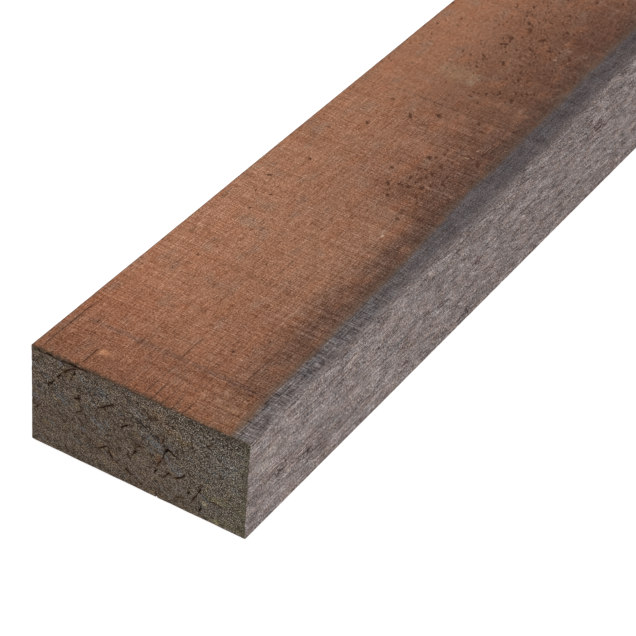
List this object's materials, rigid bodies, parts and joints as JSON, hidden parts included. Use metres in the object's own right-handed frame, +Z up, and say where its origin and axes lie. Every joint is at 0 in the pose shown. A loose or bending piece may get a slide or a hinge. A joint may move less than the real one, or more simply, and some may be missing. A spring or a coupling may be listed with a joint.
{
  "type": "sawn hardwood beam",
  "caption": "Straight sawn hardwood beam of rectangular section with square-cut ends and slightly worn arrises, lying on a wide face, for joists, posts, sills and edging.",
  "frame": {"origin": "centre of the underside, the wide face that the beam lies on", "axes": "+X along the beam, +Y across its width, +Z up from the underside to the upper wide face"},
  "size_m": [2, 0.15, 0.07],
  "materials": {
    "sawn_hardwood": "rough-sawn and unfinished, warm brown on the wide faces, weathered grey on the narrow sides, along the arrises and on the ends"
  },
  "bodies": {
    "root": {"beam": "sawn_hardwood"}
  },
  "joints": []
}
